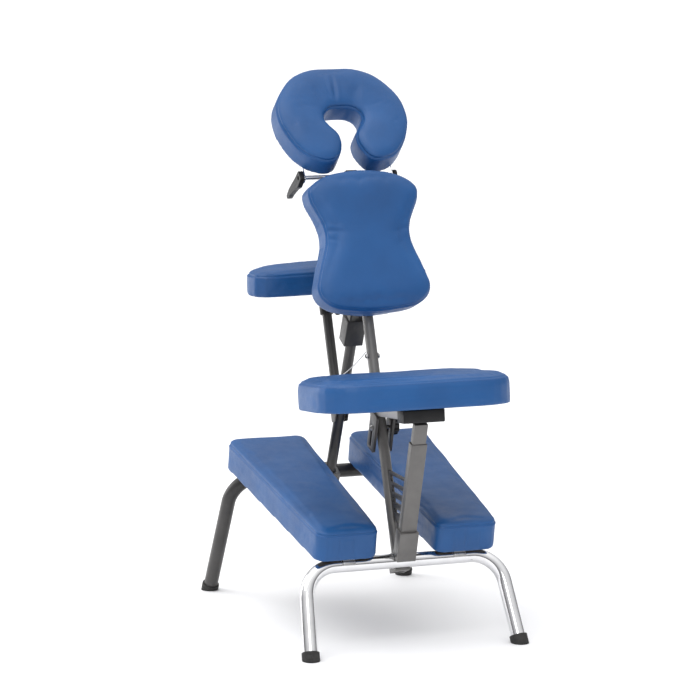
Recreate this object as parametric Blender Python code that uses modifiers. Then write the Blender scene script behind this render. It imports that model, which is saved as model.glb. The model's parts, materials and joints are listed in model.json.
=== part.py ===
"""Kneeling massage chair: two leaned tube frames joined at a fold pin, with a seat, two knee pads,
a chest pad, a face cushion and an armrest. Metres, +Z up, the sitter faces +Y."""

import math

import bmesh
import bpy
from mathutils import Matrix, Vector

# ---------------------------------------------------------------- driving dimensions

BOX_SHIFT = 0.0163  # the middle of the four feet stands this far ahead of the origin
GAP = 0.0003  # between pieces that touch

LEG_RADIUS = 0.016
LEG_BEND = 0.072
FOOT_X = 0.240
CORNER_X = 0.224
REAR_FOOT_Y, REAR_RAIL = -0.360, (-0.272, 0.182)
FRONT_FOOT_Y, FRONT_RAIL = 0.360, (0.232, 0.286)
FOOT_LIFT, FOOT_TOP, FOOT_WALL = 0.010, 0.018, 0.0035  # tube end, cup rim, cup wall

APEX = (-0.0163, 0.7747)  # the fold pin
MAST_LEAN, STRUT_LEAN = 20.8, 23.92
TUBE_RADIUS, TUBE_WALL = 0.012, 0.0018
MAST_BOTTOM, MAST_TOP = -0.646, 0.198
STRUT_BOTTOM, STRUT_TOP = -0.559, -0.1303

POST_BASE, POST_LEAN = (-0.288, 0.211), 17.5
POST_WIDTH, POST_DEPTH, POST_WALL = 0.036, 0.020, 0.0025

SEAT_PLACE, SEAT_TILT = (-0.283, 0.5225), 6.2
SEAT_WIDTH, SEAT_DEPTH, SEAT_CORNER = 0.446, 0.270, 0.092
BOARD, SEAT_PAD = 0.012, 0.056

KNEE_X, KNEE_REAR, KNEE_FRONT = 0.138, -0.027, 0.535
KNEE_NEAR, KNEE_FAR = (-0.073, 0.070), (-0.086, 0.100)  # inner and outer edges, from KNEE_X
KNEE_PAD, KNEE_CORNER = 0.064, 0.024

CHEST_TOP, CHEST_BOTTOM, CHEST_PAD = 0.219, -0.096, 0.055
CLAMP_BOLT, STAY_BOLT = -0.345, -0.185  # along the mast, from the fold pin

ARM_BASE, ARM_LEAN = (0.1357, 0.432), 21.0
ARM_HINGE, ARM_PAD = 0.282, 0.050

HEAD_AXLE, HEAD_LEAN = (0.0164, 0.228), 40.9  # the axle's place in the mast's frame
HEAD_PAD, HEAD_BACK = 0.062, -0.014  # its thickness, and its back's place behind the axle

PIN_RADIUS = 0.004

# ---------------------------------------------------------------- scene and materials

for old in list(bpy.data.objects):
    bpy.data.objects.remove(old, do_unlink=True)

parts = bpy.data.collections.new("kneeling_massage_chair")
cutters = bpy.data.collections.new("cutters")
for group in (parts, cutters):
    bpy.context.scene.collection.children.link(group)


def material(name, colour, roughness, metallic=0.0):
    made = bpy.data.materials.new(name)
    made.use_nodes = True
    shader = made.node_tree.nodes["Principled BSDF"]
    shader.inputs["Base Color"].default_value = (*colour, 1.0)
    shader.inputs["Roughness"].default_value = roughness
    shader.inputs["Metallic"].default_value = metallic
    made.diffuse_color = (*colour, 1.0)
    return made


CHROME = ((0.78, 0.78, 0.80), 0.12, 1.0)
GREY_PAINT = ((0.20, 0.19, 0.20), 0.45, 0.3)
LIGHT_PAINT = ((0.42, 0.41, 0.42), 0.4, 0.6)
DARK_PAINT = ((0.05, 0.05, 0.055), 0.45, 0.3)
STEEL = ((0.55, 0.55, 0.57), 0.35, 1.0)
BLACK_PLASTIC = ((0.02, 0.02, 0.022), 0.4, 0.0)
RUBBER = ((0.025, 0.025, 0.025), 0.8, 0.0)
WOOD = ((0.55, 0.42, 0.28), 0.6, 0.0)
BLUE_VINYL = ((0.06, 0.16, 0.42), 0.42, 0.0)

# ---------------------------------------------------------------- frames of reference


class Frame:
    """An empty that pieces hang on, with its own matrix kept for sums."""

    def __init__(self, name, place, lean=0.0, parent=None):
        self.empty = bpy.data.objects.new(name, None)
        self.empty.empty_display_size = 0.03
        self.empty.location = place
        self.empty.rotation_euler = (math.radians(lean), 0.0, 0.0)
        turn = Matrix.Rotation(math.radians(lean), 4, "X")
        self.matrix = Matrix.Translation(place) @ turn
        if parent:
            self.empty.parent = parent.empty
            self.matrix = parent.matrix @ self.matrix
        parts.objects.link(self.empty)

    def local(self, point):
        """A point of the root's frame, seen from this one."""
        return self.matrix.inverted() @ (root.matrix @ Vector(point))


root = Frame("chair_origin", (0.0, BOX_SHIFT, 0.0))
mast = Frame("mast_axis", (0.0, *APEX), -MAST_LEAN, root)
fold = Frame("fold_axis", (0.0, *APEX), STRUT_LEAN, root)
post = Frame("seat_post_axis", (0.0, *POST_BASE), POST_LEAN, root)
seat = Frame("seat_plane", (0.0, *SEAT_PLACE), -SEAT_TILT, root)
arm_tube = Frame("armrest_axis", fold.local((0.0, *ARM_BASE)), -ARM_LEAN - STRUT_LEAN, fold)
arm = Frame("armrest_hinge_axis", (0.0, 0.0, ARM_HINGE), ARM_LEAN, arm_tube)
head = Frame("head_tilt_axis", (0.0, *HEAD_AXLE), MAST_LEAN - HEAD_LEAN, mast)

# ---------------------------------------------------------------- ways to make a piece

ALONG_X = (0.0, math.pi / 2, 0.0)  # turns a piece built along Z so that it lies along X
ALONG_Y = (-math.pi / 2, 0.0, 0.0)
SIDE_ON = (math.pi / 2, 0.0, math.pi / 2)  # lays a flat outline in the YZ plane
FACING_BACK = (math.pi / 2, 0.0, 0.0)  # lays it in the XZ plane, its top side to the rear


def place(obj, frame, location=(0, 0, 0), rotation=(0, 0, 0), look=None, group=parts):
    obj.location = location
    obj.rotation_euler = rotation
    obj.parent = frame.empty
    group.objects.link(obj)
    if look:
        obj.data.materials.append(material(obj.name, *look))
    if group is cutters:
        obj.hide_render = True
        obj.display_type = "WIRE"
    return obj


def soften(obj, angle=35.0):
    obj.data.shade_smooth()
    obj.data.set_sharp_from_angle(angle=math.radians(angle))
    return obj


def box(name, low, high, frame, look=None, bevel=0.0, group=parts):
    """A block between two corners in the frame's own axes."""
    low, high = Vector(low), Vector(high)
    bm = bmesh.new()
    bmesh.ops.create_cube(bm, size=1.0)
    bmesh.ops.scale(bm, vec=high - low, verts=bm.verts)
    mesh = bpy.data.meshes.new(name)
    bm.to_mesh(mesh)
    bm.free()
    obj = place(bpy.data.objects.new(name, mesh), frame, (low + high) / 2, (0, 0, 0), look, group)
    if bevel:
        rounding = obj.modifiers.new("rounded_edges", "BEVEL")
        rounding.width = bevel
        rounding.segments = 2
    return obj


def rod(name, radius, low, high, frame, centre=(0, 0, 0), rotation=(0, 0, 0), look=None,
        sides=20, group=parts):
    """A round bar from low to high along its own Z, which the rotation turns."""
    bm = bmesh.new()
    bmesh.ops.create_cone(bm, cap_ends=True, segments=sides, radius1=radius, radius2=radius,
                          depth=high - low)
    bmesh.ops.translate(bm, vec=(0, 0, (low + high) / 2), verts=bm.verts)
    mesh = bpy.data.meshes.new(name)
    bm.to_mesh(mesh)
    bm.free()
    obj = place(bpy.data.objects.new(name, mesh), frame, centre, rotation, look, group)
    return soften(obj)


def turned(name, profile, frame, centre=(0, 0, 0), rotation=(0, 0, 0), look=None, steps=20,
           closed=False):
    """A lathe shape: the profile's (radius, height) points run down its outer side."""
    bm = bmesh.new()
    points = [bm.verts.new((radius, 0.0, height)) for radius, height in profile]
    for first, second in zip(points, points[1:]):
        bm.edges.new((first, second))
    if closed:
        bm.edges.new((points[-1], points[0]))
    mesh = bpy.data.meshes.new(name)
    bm.to_mesh(mesh)
    bm.free()
    obj = place(bpy.data.objects.new(name, mesh), frame, centre, rotation, look)
    screw = obj.modifiers.new("lathe", "SCREW")
    screw.steps = screw.render_steps = steps
    screw.use_merge_vertices = True
    screw.merge_threshold = 0.00001
    screw.use_smooth_shade = True
    return obj


def pipe(name, outer, inner, low, high, frame, centre=(0, 0, 0), rotation=(0, 0, 0), look=None,
         steps=20):
    wall = [(outer, high), (outer, low), (inner, low), (inner, high)]
    return turned(name, wall, frame, centre, rotation, look, steps, closed=True)


def fillet(corners, radius, steps=6, closed=True):
    """The corners' polygon with each corner turned into an arc, in two or three dimensions."""
    corners = [Vector(corner) for corner in corners]
    path = []
    for i, corner in enumerate(corners):
        if not closed and i in (0, len(corners) - 1):
            path.append(corner)
            continue
        before = (corners[i - 1] - corner).normalized()
        after = (corners[(i + 1) % len(corners)] - corner).normalized()
        half = before.angle(after) / 2
        centre = corner + (before + after).normalized() * (radius / math.sin(half))
        start = corner + before * (radius / math.tan(half)) - centre
        end = corner + after * (radius / math.tan(half)) - centre
        sweep = start.angle(end)
        for step in range(steps + 1):
            t = step / steps
            arc = start * math.sin((1 - t) * sweep) + end * math.sin(t * sweep)
            path.append(centre + arc / math.sin(sweep))
    return path


def circle(centre, radius, sides=16):
    turn = 2 * math.pi / sides
    return [Vector((centre[0] + radius * math.cos(i * turn), centre[1] + radius * math.sin(i * turn)))
            for i in range(sides)]


def flat(name, outlines, thickness, frame, centre=(0, 0, 0), rotation=(0, 0, 0), look=None,
         edge=0.0, smooth_outline=False, bevel_steps=1):
    """A flat piece from closed outlines, the later ones being its holes. With an edge, its rim is
    rounded and stands that far outside the outline."""
    curve = bpy.data.curves.new(name, "CURVE")
    curve.dimensions = "2D"
    curve.fill_mode = "BOTH"
    curve.extrude = thickness / 2 - edge
    curve.bevel_depth = edge
    curve.bevel_resolution = bevel_steps
    curve.resolution_u = 4
    for outline in outlines:
        if smooth_outline:
            spline = curve.splines.new("BEZIER")
            spline.bezier_points.add(len(outline) - 1)
            for point, at in zip(spline.bezier_points, outline):
                point.co = (at[0], at[1], 0.0)
                point.handle_left_type = point.handle_right_type = "AUTO"
        else:
            spline = curve.splines.new("POLY")
            spline.points.add(len(outline) - 1)
            for point, at in zip(spline.points, outline):
                point.co = (at[0], at[1], 0.0, 1.0)
        spline.use_cyclic_u = True
        spline.use_smooth = False
    obj = bpy.data.objects.new(name, curve)
    return place(obj, frame, centre, rotation, look)


def bent_tube(name, path, radius, frame, look, sides=16):
    curve = bpy.data.curves.new(name, "CURVE")
    curve.dimensions = "3D"
    curve.bevel_depth = radius
    curve.bevel_resolution = (sides - 4) // 2
    curve.use_fill_caps = True
    spline = curve.splines.new("POLY")
    spline.points.add(len(path) - 1)
    for point, at in zip(spline.points, path):
        point.co = (*at, 1.0)
    return place(bpy.data.objects.new(name, curve), frame, (0, 0, 0), (0, 0, 0), look)


def join(obj, other, operation="DIFFERENCE"):
    """Cuts the other shape from the piece, or adds it with UNION. The other is only a helper."""
    change = obj.modifiers.new(f"{operation.lower()}_{other.name}", "BOOLEAN")
    change.operation = operation
    change.object = other
    if cutters not in other.users_collection:
        parts.objects.unlink(other)
        cutters.objects.link(other)
    other.hide_render = True
    other.display_type = "WIRE"
    return obj


def cross_hole(obj, name, radius, frame, y, z):
    """A hole right through the piece along X."""
    cutter = rod(f"cut_{name}", radius + GAP, -0.06, 0.06, frame, (0, y, z), ALONG_X, group=cutters)
    return join(obj, cutter)


def knob(name, frame, centre, rotation, radius=0.016, height=0.014, stud=0.010):
    """A round clamp knob: its stud points along +Z from the mouth of the hole at the centre."""
    profile = [(0, stud), (PIN_RADIUS, stud), (PIN_RADIUS, 0), (radius * 0.55, -0.001),
               (radius * 0.6, -0.004), (radius, -0.006), (radius, -0.003 - height),
               (radius * 0.8, -0.006 - height), (0, -0.006 - height)]
    return turned(name, profile, frame, centre, rotation, BLACK_PLASTIC)


def headed_pin(name, half_length, head_radius, head, frame, y, z, look=STEEL, radius=PIN_RADIUS):
    """A bolt along X with a head at each end, both standing off the pieces it holds."""
    end = half_length + head
    profile = [(0, end), (head_radius, end), (head_radius, half_length), (radius, half_length),
               (radius, -half_length), (head_radius, -half_length), (head_radius, -end), (0, -end)]
    return turned(name, profile, frame, (0, y, z), ALONG_X, look, 20)


def side_name(base, side):
    return f"{base}_{'left' if side < 0 else 'right'}"


# ---------------------------------------------------------------- legs, feet and boots


def leg(name, frame, foot_y, rail, look):
    """One bent tube: foot, corner, rail, corner, foot."""
    corners = [(-FOOT_X, foot_y, 0.0), (-CORNER_X, *rail), (CORNER_X, *rail), (FOOT_X, foot_y, 0.0)]
    rise = (Vector(corners[1]) - Vector(corners[0])).normalized() * FOOT_LIFT
    corners[0] = Vector(corners[0]) + rise
    corners[3] = Vector(corners[3]) + Vector((-rise.x, rise.y, rise.z))
    path = fillet(corners, LEG_BEND, 7, closed=False)
    return bent_tube(name, [frame.local(point) for point in path], LEG_RADIUS, frame, look)


def foot(name, frame, side, foot_y, rail):
    """A rubber cup on the tube's end, cut flat where it meets the floor."""
    base = Vector((side * FOOT_X, foot_y, 0.0))
    along = (Vector((side * CORNER_X, *rail)) - base).normalized()
    outer, inner = LEG_RADIUS + FOOT_WALL, LEG_RADIUS + GAP
    profile = [(0, FOOT_LIFT - GAP), (inner, FOOT_LIFT - GAP), (inner, FOOT_TOP),
               (outer - 0.001, FOOT_TOP), (outer, FOOT_TOP - 0.001), (outer, -0.014), (0, -0.014)]
    turn = frame.matrix.to_quaternion().inverted() @ along.to_track_quat("Z", "Y")
    cup = turned(name, profile, frame, frame.local(base), turn.to_euler(), RUBBER, 24)
    reach = Vector((0.05, 0.05, 0.0))
    floor = box(f"cut_{name}", base - reach - Vector((0, 0, 0.05)), base + reach, root, group=cutters)
    return join(cup, floor)


leg("rear_leg", root, REAR_FOOT_Y, REAR_RAIL, CHROME)
leg("front_leg", fold, FRONT_FOOT_Y, FRONT_RAIL, DARK_PAINT)
for side in (-1, 1):
    foot(side_name("rear_foot", side), root, side, REAR_FOOT_Y, REAR_RAIL)
    foot(side_name("front_foot", side), fold, side, FRONT_FOOT_Y, FRONT_RAIL)


def rail_cutter(name, frame, rail):
    at = frame.local((0.0, *rail))
    return rod(name, LEG_RADIUS + GAP, -0.05, 0.05, frame, at, ALONG_X, group=cutters, sides=32)


boot = box("rear_boot", (-0.022, -0.016, -0.024), (0.022, 0.0135, 0.046), post, GREY_PAINT, 0.002)
join(boot, rail_cutter("cut_rear_rail", post, REAR_RAIL))
socket = (POST_WIDTH / 2 + GAP, POST_DEPTH / 2 + GAP)
join(boot, box("cut_post_socket", (-socket[0], -socket[1], -0.010), (*socket, 0.08), post,
               group=cutters))

bracket_at = mast.local((0.0, *REAR_RAIL))
bracket = box("mast_bracket", (-0.017, bracket_at.y + 0.003, bracket_at.z - 0.021),
              (0.017, 0.0155, bracket_at.z + 0.021), mast, GREY_PAINT, 0.0015)
join(bracket, rail_cutter("cut_bracket_rail", mast, REAR_RAIL))
join(bracket, rod("cut_bracket_mast", TUBE_RADIUS + GAP, -0.1, 0.1, mast, (0, 0, bracket_at.z),
                  group=cutters))

front_at = fold.local((0.0, *FRONT_RAIL))
front_boot = box("front_boot", (-0.019, -0.016, front_at.z - 0.021),
                 (0.019, front_at.y + 0.006, front_at.z + 0.024), fold, GREY_PAINT, 0.0015)
join(front_boot, rail_cutter("cut_front_rail", fold, FRONT_RAIL))
join(front_boot, rod("cut_boot_strut", TUBE_RADIUS + GAP, -0.1, 0.1, fold, (0, 0, front_at.z),
                     group=cutters))

# ---------------------------------------------------------------- mast and its fittings

mast_tube = pipe("mast_tube", TUBE_RADIUS, TUBE_RADIUS - TUBE_WALL, MAST_BOTTOM, MAST_TOP, mast,
                 look=GREY_PAINT)
mast_holes = (("mast_fold_hole", 0.0), ("mast_clamp_hole", CLAMP_BOLT), ("mast_stay_hole", STAY_BOLT))
for name, height in mast_holes:
    cross_hole(mast_tube, name, PIN_RADIUS, mast, 0.0, height)

EAR_INNER, EAR_WALL = TUBE_RADIUS + 0.0006, 0.005
headed_pin("fold_pin", EAR_INNER + EAR_WALL + GAP, 0.0075, 0.003, mast, 0.0, 0.0)
headed_pin("stay_bolt", TUBE_RADIUS + 0.0005, 0.0065, 0.004, mast, 0.0, STAY_BOLT)
headed_pin("seat_clamp_bolt", 0.0226, 0.0065, 0.0035, mast, 0.0, CLAMP_BOLT)

collar = pipe("mast_collar", 0.0160, TUBE_RADIUS + GAP, MAST_TOP - 0.026, MAST_TOP + 0.002, mast,
              look=BLACK_PLASTIC)
COLLAR_KNOB = MAST_TOP - 0.011
join(collar, rod("cut_collar_knob", PIN_RADIUS + GAP, 0.0, 0.03, mast, (0, 0, COLLAR_KNOB), ALONG_Y,
                 group=cutters))
knob("head_height_knob", mast, (0, 0.0163, COLLAR_KNOB), (math.pi / 2, 0, 0), 0.013, 0.012, 0.0038)


def mast_y(z):
    return APEX[0] - (APEX[1] - z) * math.tan(math.radians(MAST_LEAN))


def post_y(z):
    return POST_BASE[0] - (z - POST_BASE[1]) * math.tan(math.radians(POST_LEAN))


def web_edges(z):
    """Where the web plate may start behind the mast and end before the seat post."""
    front = mast_y(z) - (TUBE_RADIUS + 0.0005) / math.cos(math.radians(MAST_LEAN))
    rear = post_y(z) + (POST_DEPTH / 2 + 0.0005) / math.cos(math.radians(POST_LEAN))
    return front, rear


WEB_LOW, WEB_HIGH, WEB_SLOTS = 0.261, 0.366, 4
web = [[]]
for z in (WEB_LOW, WEB_HIGH):
    front, rear = web_edges(z)
    web[0] += [(front, z), (rear, z)] if z == WEB_LOW else [(rear, z), (front, z)]
for i in range(WEB_SLOTS):
    centre_z = WEB_LOW + 0.024 + 0.0222 * i
    half_height = 0.0040 + 0.0012 * i
    front, rear = web_edges(centre_z)
    corners = [(front - 0.012, centre_z - half_height), (rear + 0.012, centre_z - half_height),
               (rear + 0.012, centre_z + half_height), (front - 0.012, centre_z + half_height)]
    web.append(fillet(corners, half_height * 0.8, 4))
flat("web_plate", web, 0.005, root, (0, 0, 0), SIDE_ON, DARK_PAINT)

# ---------------------------------------------------------------- seat post, fork and seat

outer_post = box("seat_post_outer", (-POST_WIDTH / 2, -POST_DEPTH / 2, -0.0095),
                 (POST_WIDTH / 2, POST_DEPTH / 2, 0.258), post, GREY_PAINT, 0.002)
hollow = (POST_WIDTH / 2 - POST_WALL, POST_DEPTH / 2 - POST_WALL)
join(outer_post, box("cut_post_hollow", (-hollow[0], -hollow[1], -0.03), (*hollow, 0.3), post,
                     group=cutters))
slide_fit = 0.0004
box("seat_post_inner", (-hollow[0] + slide_fit, -hollow[1] + slide_fit, 0.120),
    (hollow[0] - slide_fit, hollow[1] - slide_fit, 0.3040), post, GREY_PAINT)

seat_head_at = seat.local((0.0, post_y(0.513), 0.513))
box("seat_head", (-0.047, seat_head_at.y - 0.020, -0.0285), (0.047, seat_head_at.y + 0.020, -GAP), seat,
    BLACK_PLASTIC, 0.002)

FORK_INNER, FORK_WALL = TUBE_RADIUS + 0.001, 0.003
for side in (-1, 1):
    near, far = sorted((side * FORK_INNER, side * (FORK_INNER + FORK_WALL)))
    box(side_name("seat_fork", side), (near, seat_head_at.y + 0.0205, -0.0275), (far, 0.178, -GAP), seat,
        LIGHT_PAINT)

# The slotted plates hang under the fork's front end, and the clamp bolt runs in their slots.
bolt_point = root.matrix.inverted() @ (mast.matrix @ Vector((0, 0, CLAMP_BOLT)))
bolt_in_post = post.local(bolt_point)
SLOT_TRAVEL, SLOT_HALF = 0.040, PIN_RADIUS + 0.0006
slot = []
for start, drop in ((0.0, 0.0), (math.pi, SLOT_TRAVEL)):
    for step in range(9):
        angle = start + math.pi * step / 8
        slot.append((bolt_in_post.y + SLOT_HALF * math.cos(angle),
                     bolt_in_post.z - drop + SLOT_HALF * math.sin(angle)))
PLATE = 0.006
low_z, high_z = bolt_in_post.z - SLOT_TRAVEL - 0.012, bolt_in_post.z + 0.036
plate_outline = fillet([(bolt_in_post.y - 0.022, low_z), (bolt_in_post.y + 0.018, low_z),
                        (bolt_in_post.y + 0.018, high_z), (bolt_in_post.y - 0.022, high_z)], 0.006, 4)
for side in (-1, 1):
    middle = side * (FORK_INNER + FORK_WALL + GAP + PLATE / 2)
    flat(side_name("seat_slot_plate", side), [plate_outline, slot], PLATE, post, (middle, 0, 0), SIDE_ON,
         DARK_PAINT)

clamp_profile = [(0, -0.0045), (0.0085, -0.0045), (0.0085, 0.0), (0.017, -0.002), (0.018, -0.004),
                 (0.018, -0.013), (0.015, -0.016), (0, -0.016)]
turned("seat_clamp_knob", clamp_profile, mast, (0.0228, 0, CLAMP_BOLT), (0.0, -math.pi / 2, 0.0),
       BLACK_PLASTIC)

board_size = (SEAT_WIDTH / 2 - 0.012, SEAT_DEPTH / 2 - 0.012)


def rounded_rectangle(half_x, half_y, radius, steps=6):
    corners = [(-half_x, -half_y), (half_x, -half_y), (half_x, half_y), (-half_x, half_y)]
    return fillet(corners, radius, steps)


SEAT_EDGE = 0.018
cushion_size = (SEAT_WIDTH / 2 - SEAT_EDGE, SEAT_DEPTH / 2 - SEAT_EDGE)
flat("seat_board", [rounded_rectangle(*board_size, SEAT_CORNER - 0.012)], BOARD, seat, (0, 0, BOARD / 2),
     look=WOOD)
flat("seat_cushion", [rounded_rectangle(*cushion_size, SEAT_CORNER - SEAT_EDGE)], SEAT_PAD, seat,
     (0, 0, BOARD + GAP + SEAT_PAD / 2), look=BLUE_VINYL, edge=SEAT_EDGE)

# ---------------------------------------------------------------- knee pads, hinged on the rear rail

rail_slope = math.degrees(math.atan2(FRONT_RAIL[1] - REAR_RAIL[1], FRONT_RAIL[0] - REAR_RAIL[0]))
rail_span = math.dist(REAR_RAIL, FRONT_RAIL)
KNEE_BOARD, THIN_BOARD = LEG_RADIUS + 0.0035, 0.010  # the board's underside above the rail, its thickness
KNEE_EDGE = 0.012
HINGE_HALF, SADDLE_HALF = 0.014, 0.025


def knee_outline(inset, side):
    """A long pad, wider in front, whose outer edge splays away from the middle of the chair."""
    corners = [(KNEE_NEAR[0] + inset, KNEE_REAR + inset), (KNEE_NEAR[1] - inset, KNEE_REAR + inset),
               (KNEE_FAR[1] - inset, KNEE_FRONT - inset), (KNEE_FAR[0] + inset, KNEE_FRONT - inset)]
    return fillet([(side * x, y) for x, y in corners][::side], KNEE_CORNER - inset, 5)


for side in (-1, 1):
    knee = Frame(side_name("knee_axis", side), (side * KNEE_X, *REAR_RAIL), rail_slope, root)
    middle = side * -0.010
    eye = pipe(side_name("knee_hinge", side), LEG_RADIUS + 0.0032, LEG_RADIUS + 0.0004, -HINGE_HALF,
               HINGE_HALF, knee, (middle, 0, 0), ALONG_X, STEEL)
    lug = box(side_name("add_knee_lug", side), (middle - HINGE_HALF, -0.012, LEG_RADIUS + 0.0012),
              (middle + HINGE_HALF, 0.022, KNEE_BOARD - GAP), knee)
    join(eye, lug, "UNION")
    reach = LEG_RADIUS + 0.006
    join(eye, box(side_name("cut_knee_eye", side), (middle - reach, -reach, -reach),
                  (middle + reach, reach, 0.006), knee, group=cutters))
    box(side_name("knee_saddle", side), (middle - SADDLE_HALF, rail_span - 0.018, LEG_RADIUS + GAP),
        (middle + SADDLE_HALF, rail_span + 0.006, KNEE_BOARD - GAP), knee, RUBBER)
    flat(side_name("knee_board", side), [knee_outline(0.010, side)], THIN_BOARD, knee,
         (0, 0, KNEE_BOARD + THIN_BOARD / 2), look=WOOD)
    flat(side_name("knee_cushion", side), [knee_outline(KNEE_EDGE, side)], KNEE_PAD, knee,
         (0, 0, KNEE_BOARD + THIN_BOARD + GAP + KNEE_PAD / 2), look=BLUE_VINYL, edge=KNEE_EDGE)

# ---------------------------------------------------------------- chest pad on its sleeve

SLEEVE_LOW, SLEEVE_HIGH, SLEEVE_RADIUS = 0.070, 0.150, 0.016
CHEST_FACE = 0.0168  # the board's back, behind the mast's axis
sleeve = pipe("chest_slider", SLEEVE_RADIUS, TUBE_RADIUS + 0.0004, SLEEVE_LOW, SLEEVE_HIGH, mast,
              look=DARK_PAINT)
saddle = box("add_chest_saddle", (-0.030, -CHEST_FACE + GAP, SLEEVE_LOW + 0.004),
             (0.030, -0.0135, SLEEVE_HIGH - 0.004), mast)
join(sleeve, saddle, "UNION")
CHEST_KNOB = (SLEEVE_LOW + SLEEVE_HIGH) / 2
join(sleeve, rod("cut_chest_knob", PIN_RADIUS + GAP, 0.005, 0.03, mast, (0, 0, CHEST_KNOB), ALONG_Y,
                 group=cutters))
knob("chest_knob", mast, (0, SLEEVE_RADIUS + GAP, CHEST_KNOB), (math.pi / 2, 0, 0), 0.018, 0.014, 0.0035)


def shrink(loop, inset):
    """The closed outline with each point moved inwards, square to the line between its neighbours."""
    loop = [Vector(point) for point in loop]
    area = sum(a.x * b.y - b.x * a.y for a, b in zip(loop, loop[1:] + loop[:1]))
    moved = []
    for i, point in enumerate(loop):
        along = (loop[(i + 1) % len(loop)] - loop[i - 1]).normalized()
        moved.append(point + Vector((-along.y, along.x)) * math.copysign(inset, area))
    return moved


def chest_outline(inset):
    """An hourglass: square shoulders, a waist a little above the middle, and a wider foot."""
    half = [(0.040, CHEST_TOP), (0.085, CHEST_TOP - 0.010), (0.118, CHEST_TOP - 0.030),
            (0.128, CHEST_TOP - 0.052), (0.098, 0.080), (0.126, -0.020), (0.131, -0.052),
            (0.111, CHEST_BOTTOM + 0.016), (0.070, CHEST_BOTTOM + 0.002)]
    return shrink(half + [(-x, z) for x, z in reversed(half)], inset)


CHEST_EDGE = 0.015
flat("chest_board", [chest_outline(0.012)], THIN_BOARD, mast, (0, -CHEST_FACE - THIN_BOARD / 2, 0),
     FACING_BACK, WOOD, smooth_outline=True)
flat("chest_cushion", [chest_outline(CHEST_EDGE)], CHEST_PAD, mast,
     (0, -CHEST_FACE - THIN_BOARD - GAP - CHEST_PAD / 2, 0), FACING_BACK, BLUE_VINYL, edge=CHEST_EDGE,
     smooth_outline=True)

# ---------------------------------------------------------------- head post, cradle and face cushion

POST_END = HEAD_AXLE[1] - 0.0205
rod("head_post", TUBE_RADIUS - TUBE_WALL - 0.0004, 0.025, POST_END, mast, look=CHROME)
clevis = box("head_clevis", (-0.013, -0.012, POST_END + GAP),
             (0.013, HEAD_AXLE[0] + 0.012, HEAD_AXLE[1] + 0.007), mast, DARK_PAINT, 0.001)
AXLE_RADIUS, AXLE_HALF, ARM_PLACE = 0.005, 0.1125, 0.1030
cross_hole(clevis, "clevis_hole", AXLE_RADIUS, mast, *HEAD_AXLE)
rod("head_axle", AXLE_RADIUS, -AXLE_HALF, AXLE_HALF, head, rotation=ALONG_X, look=CHROME)
pipe("head_nut", 0.011, AXLE_RADIUS + GAP, AXLE_HALF - 0.007, AXLE_HALF + 0.002, head, rotation=ALONG_X,
     look=BLACK_PLASTIC, steps=12)

CRADLE_BACK, CRADLE_PLATE = HEAD_BACK + GAP, 0.005
bar_face = CRADLE_BACK + CRADLE_PLATE + GAP
bar_outline = fillet([(bar_face, -0.0095), (0.009, -0.0095), (0.009, 0.100), (bar_face, 0.100)], 0.003, 3)
for side in (-1, 1):
    flat(side_name("cradle_arm", side), [bar_outline, circle((0, 0), AXLE_RADIUS + GAP)], 0.003, head,
         (side * ARM_PLACE, 0, 0), SIDE_ON, CHROME)

lever_outline = fillet([(-0.012, -0.012), (0.018, -0.013), (0.040, -0.004), (0.070, 0.004), (0.092, 0.007),
                        (0.094, 0.017), (0.068, 0.019), (0.040, 0.016), (0.018, 0.013), (-0.012, 0.012)],
                       0.004, 2)
flat("head_lever", [lever_outline, circle((0, 0), AXLE_RADIUS + GAP)], 0.011, head,
     (-AXLE_HALF + 0.0015, 0, 0), SIDE_ON, BLACK_PLASTIC)


def horseshoe(inset):
    """The face cushion's outline: an egg-shaped rim round a hole that is open at the bottom."""
    rim = [(0.000, 0.254), (0.072, 0.246), (0.124, 0.204), (0.1515, 0.142), (0.142, 0.076), (0.112, 0.024)]
    lobe = [(0.082, 0.005), (0.048, 0.002), (0.028, 0.020)]
    hole = [(0.0180, 0.046), (0.0180, 0.070), (0.034, 0.095), (0.044, 0.116), (0.034, 0.138), (0.000, 0.146)]
    half = rim + lobe + hole
    return shrink(half + [(-x, z) for x, z in reversed(half[1:-1])], inset)


HEAD_EDGE = 0.020
flat("cradle_plate", [horseshoe(0.018)], CRADLE_PLATE, head, (0, CRADLE_BACK + CRADLE_PLATE / 2, 0),
     FACING_BACK, DARK_PAINT, smooth_outline=True)
flat("face_cushion", [horseshoe(HEAD_EDGE)], HEAD_PAD, head, (0, HEAD_BACK - HEAD_PAD / 2, 0), FACING_BACK,
     BLUE_VINYL, edge=HEAD_EDGE, smooth_outline=True)

# ---------------------------------------------------------------- front strut and yoke

pipe("front_strut", TUBE_RADIUS, TUBE_RADIUS - TUBE_WALL, STRUT_BOTTOM, STRUT_TOP, fold, look=DARK_PAINT)

yoke = box("yoke", (-0.0225, -0.0145, -0.180), (0.0225, 0.022, -0.115), fold, DARK_PAINT, 0.002)
for side in (-1, 1):
    near, far = sorted((side * EAR_INNER, side * (EAR_INNER + EAR_WALL)))
    ear = box(side_name("add_ear", side), (near, -0.0125, -0.125), (far, 0.0125, 0.0), fold)
    join(yoke, ear, "UNION")
    end = rod(side_name("add_ear_end", side), 0.0134, near, far, fold, rotation=ALONG_X, sides=32)
    join(yoke, end, "UNION")
cross_hole(yoke, "yoke_hole", PIN_RADIUS, fold, 0.0, 0.0)
join(yoke, rod("cut_yoke_bore", TUBE_RADIUS + GAP, -0.2, STRUT_TOP + GAP, fold, group=cutters))

# ---------------------------------------------------------------- armrest

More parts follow.
